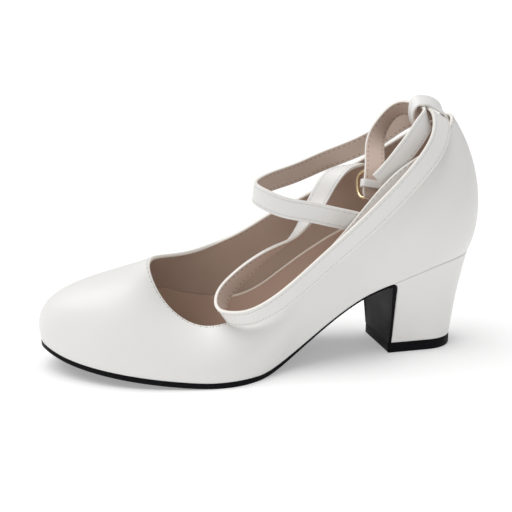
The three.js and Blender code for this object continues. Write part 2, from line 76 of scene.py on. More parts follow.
# Edge x, edge y, topline x, topline y, rise over the sole, swell, lift, lean, drop
upper_rows = [
    [110, 0, 99.5, 0, 74.49, 0.12, 0.28, 0.2, 0.32],
    [104, -15.5, 92.8, -12, 68.85, 0.1, 0.28, 0.12, 0.32],
    [85, -24.5, 79, -20, 63.38, 0.06, 0.3, 0.07, 0.3],
    [60, -25, 60, -24.5, 59.35, 0.05, 0.33, 0.05, 0.3],
    [30, -25.5, 37, -27, 46.34, 0.05, 0.35, 0.04, 0.3],
    [2, -30, 12, -30, 39.69, 0.04, 0.4, 0.04, 0.3],
    [-24, -44, -15, -31.5, 32.93, 0.02, 0.42, 0.06, 0.2],
    [-52, -42.5, -38, -29.5, 27.6, 0.015, 0.42, 0.08, 0.15],
    [-82, -32, -54.3, -20, 34, 0.02, 0.46, 0.2, 0.11],
    [-106, -12, -61.2, -8.6, 45.99, 0.045, 0.52, 0.335, 0.08],
    [-116, 8, -60.5, 3, 52.39, 0.1, 0.73, 0.32, 0.22],
    [-107, 27, -53, 13, 53.01, 0.045, 0.62, 0.31, 0.28],
    [-78, 38, -35, 21, 53, 0.02, 0.44, 0.19, 0.1],
    [-42, 38.5, -16, 25, 57.91, 0.02, 0.42, 0.08, 0.2],
    [-4, 29.5, 8, 27.5, 60.78, 0.05, 0.4, 0.06, 0.3],
    [30, 25.5, 33, 27.5, 54.43, 0.06, 0.35, 0.06, 0.3],
    [60, 25, 58, 25, 58.08, 0.05, 0.33, 0.06, 0.3],
    [85, 24.5, 79, 19.8, 64.08, 0.06, 0.3, 0.07, 0.3],
    [104, 15.5, 92.8, 12, 70.45, 0.1, 0.28, 0.12, 0.32],
]


def unit(rows):
    """Each row as a direction of length 1."""
    return rows / np.linalg.norm(rows, axis=1)[:, None]


def ease(value, low, high):
    """0 below low, 1 above high, and a smooth rise between."""
    share = np.clip((value - low) / (high - low), 0, 1)
    return share * share * (3 - 2 * share)


def spline(knots, rows, closed=False):
    """A smooth curve through rows of numbers, with free ends or running round."""
    knots, rows = np.asarray(knots, float), np.asarray(rows, float)
    count = len(knots)
    gap = np.diff(knots)[:, None]
    change = np.diff(rows, axis=0)
    size = count - 1 if closed else count
    left, right = np.zeros((size, size)), np.zeros((size, rows.shape[1]))
    for i in range(size):
        if not closed and i in (0, count - 1):
            near = min(i, count - 2)
            left[i, i] = 2
            left[i, 1 if i == 0 else i - 1] = 1
            right[i] = 3 * change[near] / gap[near]
        else:
            before = (i - 1) % size
            left[i, before] += 1 / gap[before, 0]
            left[i, i] += 2 / gap[before, 0] + 2 / gap[i, 0]
            left[i, (i + 1) % size] += 1 / gap[i, 0]
            right[i] = 3 * change[before] / gap[before] ** 2 + 3 * change[i] / gap[i] ** 2
    slope = np.linalg.solve(left, right)
    if closed:
        slope = np.vstack([slope, slope[:1]])

    def at(value):
        value = np.atleast_1d(np.asarray(value, float))
        i = np.clip(np.searchsorted(knots, value, side="right") - 1, 0, count - 2)
        s = ((value - knots[i]) / gap[i, 0])[:, None]
        start, stop = rows[i], rows[i + 1]
        pull, push = slope[i] * gap[i], slope[i + 1] * gap[i]
        bend = 3 * (stop - start) - 2 * pull - push
        return start + s * pull + s**2 * bend + s**3 * (2 * (start - stop) + pull + push)

    return at


sole_curve = spline([row[0] for row in sole_rows], [row[1:] for row in sole_rows])


def sole_bottom(x):
    """The height of the sole's underside over the floor."""
    heel, toe, _ = sole_curve(np.clip(np.asarray(x) / length + 0.5, 0, 1)).T
    return np.maximum(heel_height * heel + toe_spring * toe, 0)


def sole_top(x):
    """The height of the sole's upper side over the floor."""
    return sole_bottom(x) + sole_curve(np.clip(np.asarray(x) / length + 0.5, 0, 1))[:, 2]


closed_rows = np.array(upper_rows + upper_rows[:1], float)
upper_knots = np.append(0, np.cumsum(np.sqrt(np.hypot(*np.diff(closed_rows[:, :2], axis=0).T))))
upper_curve = spline(upper_knots / upper_knots[-1], closed_rows, closed=True)


def edge_normal(u, step=0.0005):
    """The direction out of the plan outline at u."""
    run = upper_curve(np.mod(u + step, 1))[:, :2] - upper_curve(np.mod(u - step, 1))[:, :2]
    return unit(np.column_stack([-run[:, 1], run[:, 0]]))


def skin(u, v):
    """A point of the outer skin: u runs round from the back seam, v from sole to topline."""
    ex, ey, tx, ty, rise, swell, lift, lean, drop = upper_curve(np.mod(u, 1)).T
    out = edge_normal(u) * ball_width
    top = np.column_stack([tx, ty, sole_bottom(tx) + rise])
    edge = np.column_stack([ex, ey, sole_top(ex) + seat_gap])
    tall = top[:, 2] - edge[:, 2]
    low = edge + np.column_stack([out * swell[:, None], lift * tall])
    high = top + np.column_stack([out * lean[:, None], -drop * tall])
    v = v[:, None]
    w = 1 - v
    return w**3 * edge + 3 * w * w * v * low + 3 * w * v * v * high + v**3 * top


def skin_normal(u, v, step=0.002):
    """The direction out of the skin, made level towards the lower edge."""
    along = skin(u + step, v) - skin(u - step, v)
    up = skin(u, np.minimum(v + step, 1)) - skin(u, np.maximum(v - step, 0))
    normal = unit(np.cross(up, along))
    normal[:, 2] *= ease(v, -0.01, 0.05)
    return unit(normal)


def wall_at(u, v, depth):
    """A point of the wall, at a depth in from the outer skin."""
    u, v, depth = (np.asarray(value, float) for value in np.broadcast_arrays(u, v, depth))
    return skin(u, v) - skin_normal(u, v) * depth[:, None]


def wall_reach(u):
    """The length of the wall from sole to topline at u."""
    steps = [skin(u, np.full(len(u), v)) for v in np.linspace(0, 1, 9)]
    return sum(np.linalg.norm(b - a, axis=1) for a, b in zip(steps, steps[1:]))


lift_low, lift_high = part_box("top_lift")
shift = np.array([lift_low.x / MM - breast_x, (lift_low.y + lift_high.y) / MM / 2, 0])


def laid_grid(name, across, along, lay):
    """A flat sheet of squares laid on a shape, its meeting edges joined."""
    bpy.ops.object.select_all(action="DESELECT")
    bpy.ops.mesh.primitive_grid_add(x_subdivisions=across, y_subdivisions=along, size=1)
    piece = bpy.context.object
    piece.name = piece.data.name = name
    mesh = piece.data
    flat = np.empty(len(mesh.vertices) * 3)
    mesh.vertices.foreach_get("co", flat)
    flat = flat.reshape(-1, 3) + 0.5
    points, marks = lay(np.clip(flat[:, 0], 0, 1), np.clip(flat[:, 1], 0, 1))
    mesh.vertices.foreach_set("co", ((points + shift) * MM).ravel())
    corners = np.empty(len(mesh.loops), int)
    mesh.loops.foreach_get("vertex_index", corners)
    mesh.uv_layers.active.data.foreach_set("uv", np.column_stack(marks)[corners].ravel())
    bpy.ops.object.mode_set(mode="EDIT")
    bpy.ops.mesh.select_all(action="SELECT")
    bpy.ops.mesh.remove_doubles(threshold=2e-6)
    bpy.ops.mesh.normals_make_consistent(inside=False)
    bpy.ops.object.mode_set(mode="OBJECT")
    bpy.ops.object.shade_smooth()
    return piece


def follow(rows, share):
    """Reads a table of rows at a share of its length, straight from row to row."""
    rows = np.asarray(rows, float)
    steps = np.arange(len(rows))
    return [np.interp(share * (len(rows) - 1), steps, column) for column in rows.T]


def wall_piece(name, around, profile):
    """A closed layer of the wall. Profile rows: share of the height, millimetres more, depth."""

    def lay(u, b):
        share, more, depth = follow(profile, b)
        reach = wall_reach(u)
        v = np.clip(share + more / reach, 0, 1)
        points = wall_at(u, v, depth)
        points[:, 2] -= (seat_gap - seam_gap) * ease(v, 0.05, 0)
        return points, (u * 5.5, (1 - v) * reach / 10)

    return laid_grid(name, around, len(profile) - 1, lay)


class Value:
    """A shader value that takes part in plain arithmetic."""

    def __init__(self, shader, socket):
        self.shader, self.socket = shader, socket

    def maths(self, operation, other):
        return self.shader.node("Math", {"operation": operation}, {0: self, 1: other})

    def __add__(self, other):
        return self.maths("ADD", other)

    def __mul__(self, other):
        return self.maths("MULTIPLY", other)

    __radd__ = __add__
    __rmul__ = __mul__

    def over(self, low, high):
        """0 below low, 1 above high, and a straight run between."""
        return self.shader.node(
            "MapRange", {"clamp": True}, {"Value": self, "From Min": low, "From Max": high}
        )


class Finish:
    """A material made of shader nodes, with one Principled surface."""

    def __init__(self, name, **surface):
        self.material = bpy.data.materials.new(name)
        self.material.use_nodes = True
        self.tree = self.material.node_tree
        self.tree.nodes.clear()
        self.surface = self.tree.nodes.new("ShaderNodeBsdfPrincipled")
        out = self.tree.nodes.new("ShaderNodeOutputMaterial")
        self.tree.links.new(self.surface.outputs[0], out.inputs["Surface"])
        self.fill(self.surface, {key.replace("_", " "): value for key, value in surface.items()})

    def fill(self, node, inputs):
        for key, value in inputs.items():
            if isinstance(value, Value):
                self.tree.links.new(value.socket, node.inputs[key])
            else:
                node.inputs[key].default_value = value

    def node(self, kind, settings=None, inputs=None, output=0):
        made = self.tree.nodes.new("ShaderNode" + kind)
        for key, value in (settings or {}).items():
            setattr(made, key, value)
        self.fill(made, inputs or {})
        return Value(self, made.outputs[output])

    def noise(self, scale, detail):
        place = self.node("TexCoord", output="Object")
        return self.node("TexNoise", {}, {"Vector": place, "Scale": scale, "Detail": detail})

    def cells(self, scale):
        place = self.node("TexCoord", output="Object")
        return self.node("TexVoronoi", {}, {"Vector": place, "Scale": scale})

    def mix(self, factor, first, second):
        settings = {"data_type": "RGBA"}
        return self.node("Mix", settings, {0: factor, 6: first, 7: second}, output=2)

    def bump(self, height, strength, distance):
        inputs = {"Height": height, "Strength": strength, "Distance": distance}
        return self.node("Bump", {}, inputs)

    def mark(self):
        """The piece's own UV, split into its two values."""
        uv = self.node("UVMap")
        split = self.node("SeparateXYZ", {}, {"Vector": uv})
        return split, Value(self, split.socket.node.outputs[1])


white = (0.85, 0.843, 0.825, 1)
white_shade = (0.815, 0.807, 0.787, 1)
cream = (0.88, 0.85, 0.79, 1)


def leather_finish(name, edge_from, edge_to):
    """Smooth white leather, fine in grain, cream where the mark passes the edge's values."""
    made = Finish(name, Roughness=0.42, Coat_Roughness=0.35, Coat_Weight=0.12)
    grain = made.cells(1500) * 0.6 + made.noise(700, 3) * 0.6
    tone = made.mix(made.noise(22, 3).over(0.35, 0.75), white, white_shade)
    _, across = made.mark()
    edge = across.over(edge_from, edge_to)
    made.fill(
        made.surface,
        {
            "Base Color": made.mix(edge, tone, cream),
            "Roughness": made.noise(160, 2) * 0.12 + 0.36,
            "Normal": made.bump(grain, 0.12, 0.00025),
        },
    )
    return made.material


# Share of the wall's height, millimetres more, depth in from the skin: up the outside, over
# the folded topline and down the inside
upper_profile = [
    [0, 0.0, 0.22],
    [0, 0.02, 0.09],
    [0, 0.08, 0.02],
    [0, 0.2, 0.0],
    *[[share, 0.9 - 1.5 * share, 0.0] for share in np.linspace(0.03, 0.98, 40)],
    [1, -0.55, 0.0],
    [1, -0.3, 0.06],
    [1, -0.1, 0.22],
    [1, 0.0, 0.5],
    [1, 0.0, 1.2],
    [1, -0.1, 1.55],
    [1, -0.3, 1.75],
    [1, -0.6, 1.83],
    [1, -1.1, 1.83],
    [1, -1.25, 1.7],
    [1, -1.3, leather_skin],
    *[[share, 0.0, leather_skin] for share in np.linspace(0.9, 0.05, 8)],
    [0, 0.0, leather_skin],
    [0, 0.0, 0.22],
]
upper = wall_piece("upper_leather", 300, upper_profile)
upper.data.materials.append(leather_finish("upper_leather", 0.09, 0.03))
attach(upper, "root")
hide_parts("upper")


# Lining of the upper
# A thin taupe-brown lining, glued to the inside of the leather all round the foot.
# Its upper edge is cut just under the leather's folded edge and sewn down there.
taupe = (0.58, 0.455, 0.387, 1)
taupe_worn = (0.5, 0.386, 0.325, 1)


def lining_finish(name, tone, worn):
    """Matt taupe lining with a slight nap, worn a little darker in patches."""
    made = Finish(name, Roughness=0.62, Sheen_Weight=0.15, Sheen_Roughness=0.5)
    grain = made.cells(1100) * 0.5 + made.noise(500, 3)
    patch = made.noise(30, 3).over(0.35, 0.7)
    made.fill(
        made.surface,
        {
            "Base Color": made.mix(patch, tone, worn),
            "Normal": made.bump(grain, 0.2, 0.0003),
        },
    )
    return made.material


lining_profile = [
    [0, 0.0, leather_skin],
    *[[share, 0.0, leather_skin + 0.02] for share in np.linspace(0.05, 0.9, 8)],
    [1, -1.4, leather_skin + 0.02],
    [1, -1.1, leather_skin + 0.1],
    [1, -1.0, 1.55],
    [1, -1.05, 1.8],
    [1, -1.2, 1.92],
    [1, -1.7, 1.92],
    *[[share, -1.0, wall] for share in np.linspace(0.93, 0.05, 34)],
    [0.02, 0.0, wall],
    [0, 0.0, wall],
    [0, 0.0, leather_skin],
]
lining = wall_piece("upper_lining", 240, lining_profile)
taupe_lining = lining_finish("taupe_lining", taupe, taupe_worn)
lining.data.materials.append(taupe_lining)
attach(lining, "root")


# Topline seam
# One row of fine stitches just under the folded edge that holds leather and lining together.
# The thread is white outside, with a dark dot of painted shade at each needle hole between
# stitches, and taupe inside.
stitch_pitch, stitch_long, stitch_wide, lining_long = 3.2, 2.2, 0.42, 1.3
seam_below, lining_seam_below = 1.4, 2.4


def sew(name, centre, along, normal, long, wide, high, material):
    """Equal stitches, modelled once and copied along a row."""
    bpy.ops.object.select_all(action="DESELECT")
    bpy.ops.mesh.primitive_uv_sphere_add(segments=8, ring_count=5, radius=0.5)
    pattern = bpy.context.object
    corners = np.array([v.co for v in pattern.data.vertices], float)
    faces = [list(face.vertices) for face in pattern.data.polygons]
    bpy.data.objects.remove(pattern)
    along = unit(along)
    normal = unit(normal - along * np.sum(normal * along, axis=1)[:, None])
    side = np.cross(normal, along)
    axes = np.stack([along * long, side * wide, normal * high], axis=1)
    points = centre[:, None, :] + np.einsum("pk,nkc->npc", corners, axes) + shift
    mesh = bpy.data.meshes.new(name)
    size = len(corners)
    copies = [[i * size + v for v in face] for i in range(len(centre)) for face in faces]
    mesh.from_pydata((points.reshape(-1, 3) * MM).tolist(), [], copies)
    mesh.materials.append(material)
    piece = bpy.data.objects.new(name, mesh)
    bpy.context.scene.collection.objects.link(piece)
    bpy.ops.object.select_all(action="DESELECT")
    piece.select_set(True)
    bpy.context.view_layer.objects.active = piece
    bpy.ops.object.shade_smooth()
    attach(piece, "root")
    return piece


def thread_finish(name, tone, worn):
    """Twisted thread, also used dark as painted shade for the needle holes between stitches."""
    made = Finish(name, Roughness=0.55)
    twist = made.noise(2500, 1)
    made.fill(
        made.surface,
        {"Base Color": made.mix(twist, tone, worn), "Normal": made.bump(twist, 0.3, 0.0001)},
    )
    return made.material


white_thread = thread_finish("white_thread", (0.78, 0.76, 0.72, 1), (0.62, 0.6, 0.56, 1))
taupe_thread = thread_finish("taupe_thread", (0.2, 0.12, 0.09, 1), (0.13, 0.08, 0.06, 1))
# Dark dots of painted shade, standing in for the shadow inside the needle holes
painted_hole_shade = thread_finish("painted_hole_shade", (0.12, 0.11, 0.1, 1), (0.2, 0.18, 0.17, 1))
painted_strap_hole_shade = thread_finish("painted_strap_hole_shade", (0.26, 0.24, 0.23, 1), (0.36, 0.34, 0.32, 1))


def spaced(points, pitch):
    """Even steps along a polyline: the position of each step as a fractional index."""
    run = np.append(0, np.cumsum(np.linalg.norm(np.diff(points, axis=0), axis=1)))
    count = int(run[-1] / pitch)
    return np.interp(np.arange(count) * run[-1] / count, run, np.arange(len(points)))


def topline_row(below, depth, offset):
    """Stitch places at a distance below the topline, shifted by offset of a stitch."""
    steps, step = 2400, 0.001
    u = np.linspace(0, 1, steps + 1)
    index = spaced(wall_at(u, 1 - below / wall_reach(u), depth), stitch_pitch)
    u = (index / steps + offset * (index[1] - index[0]) / steps) % 1
    v = 1 - below / wall_reach(u)
    along = wall_at(u + step, v, depth) - wall_at(u - step, v, depth)
    return wall_at(u, v, depth), along, skin_normal(u, v)


# Distance below the topline, depth and shift of each row, then its stitches' size
for name, row, size, thread in (
    ("topline_stitches", (seam_below, 0.0, 0.0), (stitch_long, stitch_wide, 0.3), white_thread),
    # The needle-hole row is dark dots of painted shade
    ("topline_needle_holes", (seam_below, 0.0, 0.5), (0.75, 0.55, 0.12), painted_hole_shade),
    ("lining_stitches", (lining_seam_below, wall, 0.0), (lining_long, 0.55, 0.3), taupe_thread),
):
    seam = sew(name, *topline_row(*row), *size, thread)


# Insole
# A board covered in a taupe sock lining, glued on top of the sole; its tone is paler than the wall
# lining, partly as painted light on its upward face.
# It is let in between the walls and bends with the sole from the toe to the heel seat.
insole_thickness, insole_play = 2.2, 0.12


def plan_edge(inset):
    """The plan outline as the outer y and the inner y at any x, set in from the upper edge."""
    u = np.linspace(0, 1, 1201)
    points = upper_curve(np.mod(u, 1))[:, :2] - edge_normal(u) * inset
    tip = int(np.argmin(points[:, 0]))
    outer, inner = points[: tip + 1][::-1], points[tip:]

    def side(path):
        x = np.maximum.accumulate(path[:, 0])
        return lambda value: np.interp(value, x, path[:, 1])

    return points[tip, 0], points[0, 0], side(outer), side(inner)


def plate_piece(name, stations, sides, low, high, soft, capped=False):
    """A curved plate between two heights over a plan outline, its edges rounded by soft."""
    outer, inner = sides
    top, bottom = soft
    right = [
        [1, bottom, 0, 0],
        [1, 0.4 * bottom, 0, 0.12 * bottom],
        [1, 0.12 * bottom, 0, 0.4 * bottom],
        [1, 0.0, 0, bottom],
        [1, 0.0, 1, -top],
        [1, 0.12 * top, 1, -0.4 * top],
        [1, 0.4 * top, 1, -0.12 * top],
        [1, top, 1, 0],
    ]
    left = [[-side, -inset, level, more] for side, inset, level, more in right[::-1]]
    above = [[side, 0, 1, 0] for side in np.linspace(0.92, -0.92, 16)]
    below = [[side, 0, 0, 0] for side in np.linspace(-0.92, 0.92, 16)]
    profile = right + above + left + below + right[:1]
    keep = np.ones(len(stations))
    if capped:
        stations, keep = np.append(stations, stations[-1]), np.append(keep, 0)
    steps = np.arange(len(stations))

    def lay(a, b):
        x = np.interp(a * steps[-1], steps, stations)
        k = np.interp(a * steps[-1], steps, keep)
        side, inset, level, more = follow(profile, b)
        y_out, y_in = outer(x), inner(x)
        half_width = (y_in - y_out) / 2
        inset = np.clip(inset, -half_width, half_width)
        y = (y_out + y_in) / 2 + side * half_width - inset
        bottom_z, top_z = low(x), high(x)
        thin = np.clip(half_width / 2, 0, 1)
        z = bottom_z + level * (top_z - bottom_z) + more * thin
        z = (bottom_z + top_z) / 2 + (z - (bottom_z + top_z) / 2) * k
        return np.column_stack([x, y, z]), (x / 100, y / 100)

    return laid_grid(name, len(stations) - 1, len(profile) - 1, lay)


toe_x, heel_x, insole_outer, insole_inner = plan_edge(wall + insole_play)
# Stations that crowd towards both ends, where the outline turns
insole_share = (1 - np.cos(np.linspace(0, np.pi, 150))) / 2
insole = plate_piece(
    "insole",
    toe_x + 0.05 + (heel_x - toe_x - 0.1) * insole_share,
    (insole_outer, insole_inner),
    lambda x: sole_top(x) + seat_gap,
    lambda x: sole_top(x) + seat_gap + insole_thickness,
    (0.7, 0.1),
)
# Paler than the wall lining, partly as painted light falling on the insole's upward face
sock_lining_painted_light = lining_finish("sock_lining_painted_light", (0.8, 0.67, 0.58, 1), (0.74, 0.61, 0.525, 1))
insole.data.materials.append(sock_lining_painted_light)
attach(insole, "root")
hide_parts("insole")


# Sock rim
# The sock lining is turned up against the wall at the inner side of the shoe and glued there.
# Its cut edge shows as a pale line from the ball to the heel.
rim_stand_off, rim_back, rim_foot = 0.75, 0.1, 0.03
rim_from, rim_to = 0.512, 0.93
# The first tone, lighter than the wall lining, is painted light for the lit insole; the second is
# the sock's pale cut edge
rim_painted_light_tone, rim_edge_tone = (0.62, 0.47, 0.39, 1), (0.98, 0.92, 0.84, 1)
# Where the line runs, and its height over the sole there
rim_x = [-75, -66, -58, -49, -40, -30, -20, -8, 4, 14, 25, 36, 51, 70, 90]
rim_height = [3, 12, 22, 26.6, 23.5, 21.6, 20.3, 20.6, 21.4, 22.2, 22, 21.4, 21.8, 22, 22]


def rim_share(u):
    """How far up the wall the sock reaches at u."""
    shares = np.linspace(0, 1, 41)
    walls = [wall_at(u, np.full(len(u), share), wall) for share in shares]
    x = np.array([points[:, 0] for points in walls])
    z = np.array([points[:, 2] for points in walls])
    goal = np.interp(x, rim_x, rim_height)
    above = z - sole_top(x.ravel()).reshape(x.shape) - goal
    return np.array([np.interp(0, column, shares) for column in above.T])


def lay_rim(a, b):
    """The turned-up sock: a runs from toe to heel, b round its section."""
    u = rim_from + (rim_to - rim_from) * a
    stations = np.linspace(rim_from, rim_to, 90)
    top = np.interp(u, stations, rim_share(stations))
    rows = [[0, 0.0, rim_back], [0, 0.0, rim_stand_off]]
    rows += [[share, 0.0, rim_stand_off] for share in np.linspace(0.04, 0.96, 24)]
    rows += [[1, -0.25, rim_stand_off], [1, -0.05, 0.85 * rim_stand_off]]
    rows += [[1, 0.0, 0.5 * rim_stand_off]]
    rows += [[share, 0.0, rim_back] for share in (1, 0.5, 0)]
    share, more, depth = follow(rows, b)
    reach = np.interp(u, stations, wall_reach(stations))
    v = rim_foot + (top - rim_foot) * share + more / reach
    fade = ease(a, 0, 0.03) * ease(1 - a, 0, 0.03)
    points = wall_at(u, v, wall + depth * fade + 0.02)
    return points, (points[:, 0] / 100, (top - v) * reach)


rim = laid_grid("sock_rim", 120, 31, lay_rim)
rim_finish = Finish("sock_rim", Roughness=0.62)
from_toe, below_rim = rim_finish.mark()
rim_edge = below_rim.over(1.3, 0.9) * from_toe.over(-0.24, -0.12)
rim_finish.fill(
    rim_finish.surface,
    {"Base Color": rim_finish.mix(rim_edge, rim_painted_light_tone, rim_edge_tone)},
)
rim.data.materials.append(rim_finish.material)
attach(rim, "root")


# Outsole
# A thin black rubber sole, moulded to the last and glued under the upper.
# It thins out at the waist and its lower edge is rounded.
black = (0.005, 0.005, 0.006, 1)
black_worn = (0.008, 0.008, 0.0095, 1)


def rubber_finish(name):
    """Dull black rubber, slightly scuffed in patches."""
    made = Finish(name, Roughness=0.6, Specular_IOR_Level=0.05)
    patch = made.noise(60, 4).over(0.3, 0.75)
    grain = made.noise(900, 4)
    made.fill(
        made.surface,
        {
            "Base Color": made.mix(patch, black, black_worn),
            "Roughness": patch * 0.14 + 0.42,
            "Normal": made.bump(grain, 0.18, 0.0003),
        },
    )
    return made.material


rubber = rubber_finish("black_rubber")
flap_reach, sole_overhang = 4.0, 0.2
toe_x, _, sole_outer, sole_inner = plan_edge(-sole_overhang)
sole_share = 1 - np.cos(np.linspace(0, np.pi / 2, 150))
sole_stations = toe_x + 0.02 + (breast_x - flap_reach + 0.1 - toe_x) * sole_share
outsole = plate_piece(
    "outsole",
    sole_stations,
    (sole_outer, sole_inner),
    sole_bottom,
    sole_top,
    (0.2, 0.7),
    capped=True,
)
outsole.data.materials.append(rubber)
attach(outsole, "root")
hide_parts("outsole")


# Breast flap
# The black sole runs on down the front of the heel as a thin flap, glued to the heel.
# Its upper corner is round at the heel's side, and it bends off the sole in a small fillet.
breast_cover, flap_corner, flap_fillet = 1.5, 3.6, 2.6
heel_foot_width, heel_pinch, top_lift_thickness = 36, 0.1, 5.6
heel_foot = top_lift_thickness + seat_gap
# Flap and heel come down to this height, where they meet the tread
heel_base = top_lift_thickness + 0.05


def flap_profile():
    """The flap from the side, as x and z: up the back, forward under the shoe and down again."""
    back = breast_x + breast_cover
    top = sole_top(breast_x)[0]
    path = [[back, heel_base], [back, top - flap_corner]]
    for turn in np.linspace(0, np.pi / 2, 9)[1:]:
        x = back - flap_corner * (1 - math.cos(turn))
        path.append([x, top - flap_corner * (1 - math.sin(turn))])
    front = breast_x - flap_reach
    slope = (sole_top(breast_x)[0] - sole_top(front)[0]) / flap_reach
    path[-1][1] = top
    path = [[x, z - slope * max(breast_x - x, 0)] for x, z in path]
    path.append([front, sole_top(front)[0]])
    path.append([front, sole_bottom(front)[0]])
    under = sole_bottom(breast_x)[0]
    for turn in np.linspace(0, np.pi / 2, 9):
        x = breast_x - flap_fillet * (1 - math.sin(turn))
        z = under - flap_fillet * (1 - math.cos(turn))
        path.append([x, z - slope * (breast_x - x)])
    path.append([breast_x, heel_base])
    path.append(path[0])
    return np.array(path)


flap_path = flap_profile()


def flap_sides(z):
    """The flap's outer y and inner y at a height, as wide as the heel is there."""
    top = sole_top(breast_x)[0]
    share = np.clip((z - heel_foot) / (top - heel_foot), 0, 1)
    blend = 1 - share + heel_pinch * np.sin(np.pi * share)
    outer = sole_outer(breast_x) * (1 - blend) - heel_foot_width / 2 * blend
    inner = sole_inner(breast_x) * (1 - blend) + heel_foot_width / 2 * blend
    return outer, inner


def lay_flap(a, b):
    """The flap: a runs along its profile, b across the heel."""
    x, z = follow(flap_path, a)
    rows = [[0, 0, 0], [0, 0.05, 0.75], [0, 0.35, 1]]
    rows += [[share, 0, 1] for share in np.linspace(0.03, 0.97, 14)]
    rows += [[1, -0.35, 1], [1, -0.05, 0.75], [1, 0, 0]]
    share, inset, keep = follow(rows, b)
    outer, inner = flap_sides(z)
    y = outer + (inner - outer) * share + inset
    mid_x = np.where(z > flap_path[:, 1].max() - 6, breast_x - 1.0, breast_x + breast_cover / 2)
    mid_z = np.clip(z, heel_foot + 0.2, flap_path[:, 1].max() - 1.6)
    shrink = 1 - (1 - keep) * 0.22
    x = np.where(keep > 0, mid_x + (x - mid_x) * shrink, mid_x)
    z = np.where(keep > 0, mid_z + (z - mid_z) * shrink, mid_z)
    return np.column_stack([x, y, z]), (a, y / 100)


flap = laid_grid("breast_flap", len(flap_path) - 1, 19, lay_flap)
flap.data.materials.append(rubber)
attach(flap, "root")


# Heel
# A block heel, wrapped in the same white leather as the upper and nailed under the heel seat.
# It is round at the back and narrower at its foot.
heel_foot_length, heel_foot_bow, heel_foot_corner = 40, 1.02, 2.3
heel_rows = 40


def heel_plan(turn, blend, front):
    """A point of the heel's outline: turn runs from 0 at the outer front corner round to 1."""
    reach = np.sin(np.pi * turn)
    top_x = front + (heel_end - front) * reach
    outer_side = turn < 0.5
    top_y = np.where(outer_side, heel_outer(top_x), heel_inner(top_x))
    half = heel_foot_width / 2
    foot_back = breast_x + heel_foot_length
    straight = foot_back - half * heel_foot_bow
    foot_x = front + (foot_back - front) * reach
    bend = np.maximum(foot_x - straight, 0) / (foot_back - straight)
    foot_y = half * np.sqrt(np.maximum(1 - bend**heel_foot_corner, 0)) * np.where(outer_side, -1, 1)
    return top_x + (foot_x - top_x) * blend, top_y + (foot_y - top_y) * blend, top_x


_, heel_end, heel_outer, heel_inner = plan_edge(0)


def ring_turns(a, front_share=0.14):
    """Splits a closed run into the curved side and the straight front."""
    curved = 1 - front_share
    return np.clip(a / curved, 0, 1), np.clip((a - curved) / front_share, 0, 1)


def lay_heel(a, b):
    """The heel: a runs round its plan, b from the seat down to the foot."""
    turn, across = ring_turns(a)
    rows = [[0, 0], [0, 1]]
    rows += [[share, 1] for share in np.linspace(0, 1, heel_rows)]
    rows += [[1, 1], [1, 0]]
    share, keep = follow(rows, b)
    drop = share * (sole_top(breast_x)[0] - heel_foot)
    round_off = flap_corner - np.sqrt(
        np.maximum(flap_corner**2 - np.maximum(flap_corner - drop, 0) ** 2, 0)
    )
    front = breast_x + breast_cover + 0.05 - round_off
    blend = share + heel_pinch * np.sin(np.pi * share)
    x, y, top_x = heel_plan(turn, blend, front)
    _, end_y, _ = heel_plan(np.zeros_like(turn), blend, front)
    y = np.where(across > 0, y + (end_y - y) * across, y)
    top = sole_top(np.where(across > 0, front, top_x))
    z = top + (heel_base - top) * share
    centre_x = (x + front + 20) / 2
    x = np.where(keep > 0.5, x, centre_x)
    y = np.where(keep > 0.5, y, 0)
    return np.column_stack([x, y, z]), (a * 1.5, share * 0.5)


heel = laid_grid("heel_block", 200, heel_rows + 3, lay_heel)
# The heel's leather has no folded edge: its marks stay below these values
heel_leather = leather_finish("heel_leather", 5, 6)
heel.data.materials.append(heel_leather)
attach(heel, "root")
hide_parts("heel_block")


# Top lift
# The black rubber tread that the heel stands on, cut to the outline of the heel's foot.
# It is nailed on, with a rounded edge at the floor.
def lay_lift(a, b):
    """The tread: a runs round its plan, b from the floor up."""
    turn, across = ring_turns(a)
    rows = [
        [0, 0, 1],
        [0, 0.5, 0],
        [0.1, 0.15, 0],
        [0.4, 0.0, 0],
        [heel_base - 0.3, 0.0, 0],
        [heel_base - 0.1, 0.1, 0],
        [heel_base, 0.3, 0],
        [heel_base, 0, 1],
    ]
    z, inset, centre = follow(rows, b)
    x, y, _ = heel_plan(turn, np.ones_like(turn), breast_x)
    _, end_y, _ = heel_plan(np.zeros_like(turn), np.ones_like(turn), breast_x)
    y = np.where(across > 0, y + (end_y - y) * across, y)
    middle = breast_x + heel_foot_length * 0.5
    shrink = 1 - inset / (heel_foot_width / 2)
    x = np.where(centre > 0.5, middle, middle + (x - middle) * shrink)
    y = np.where(centre > 0.5, 0, y * shrink)
    return np.column_stack([x, y, z]), (x / 100, y / 100)


top_lift = laid_grid("top_lift", 160, 7, lay_lift)
top_lift.data.materials.append(rubber)
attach(top_lift, "root")
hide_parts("top_lift")


# Cross strap
# One long slack strap, white outside and taupe inside, sewn to the inner topline, looped over
# the instep and round through the heel loop, and back across to its other end at the outer side.
strap_width, strap_thickness, strap_edge_seam = 10.4, 1.6, 1.5
strap_soft, strap_end_soft, inlay_margin, first_stitch = 0.32, 0.4, 0.35, 1.0
